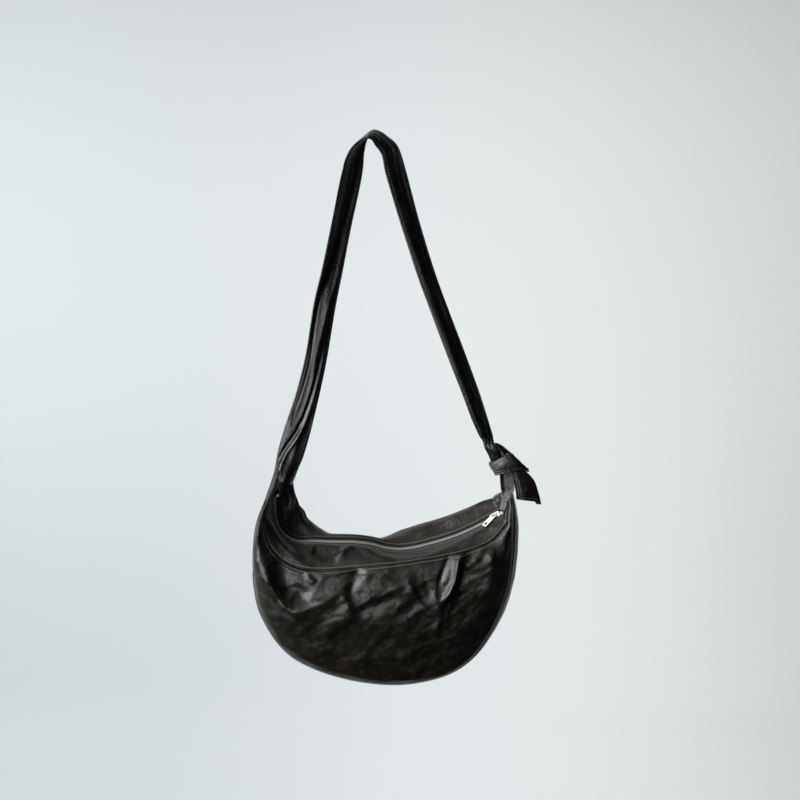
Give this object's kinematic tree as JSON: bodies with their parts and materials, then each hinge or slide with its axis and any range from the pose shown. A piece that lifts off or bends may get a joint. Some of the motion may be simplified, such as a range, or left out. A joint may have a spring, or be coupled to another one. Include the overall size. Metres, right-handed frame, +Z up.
{
  "type": "half moon bag",
  "caption": "Half moon shoulder bag in soft leather with a zip along its slanted top, a gusset, a lining, and a long strap knotted to a short tab at one corner",
  "frame": {"origin": "The underside of the strap at the point where the bag hangs", "axes": "+X towards the knotted corner, on the right as seen from the front; +Y from the front panel to the back panel; +Z up"},
  "size_m": [0.3728, 0.0921, 0.7027],
  "materials": {
    "leather": "dark brown washed leather, soft gloss",
    "leather_edge": "darker brown leather, matt",
    "lining": "dark woven cloth",
    "zip_tape": "dark woven tape",
    "zip_metal": "polished nickel plate"
  },
  "bodies": {
    "bag": {"front_panel": "leather", "back_panel": "leather", "gusset": "leather", "front_facing": "leather", "back_facing": "leather", "front_lining": "lining", "back_lining": "lining", "front_zip_tape": "zip_tape", "back_zip_tape": "zip_tape", "front_zip_teeth": "zip_metal", "back_zip_teeth": "zip_metal", "zip_top_stops": "zip_metal", "zip_bottom_stop": "zip_metal", "strap_outer_layer": "leather", "strap_inner_layer": "leather_edge", "knot_core": "leather_edge", "knot_band_wrap": "leather", "knot_hump": "leather", "strap_tail": "leather", "corner_tab": "leather_edge"},
    "slider": {"zip_slider": "zip_metal"},
    "pull": {"zip_pull": "zip_metal"}
  },
  "joints": [
    {"name": "zip_travel", "type": "hinge", "parent": "bag", "child": "slider", "pos_m": [-0.0053, 0, -0.15609], "axis": [0, 1, 0], "range_deg": [0, 38], "deforming": ["front_zip_teeth", "back_zip_teeth"]},
    {"name": "pull_swing", "type": "hinge", "parent": "slider", "child": "pull", "pos_m": [0.15702, -0.00153, -0.47509], "axis": [-0.6116, 0.7849, 0.0994], "range_deg": [0, 150]}
  ]
}
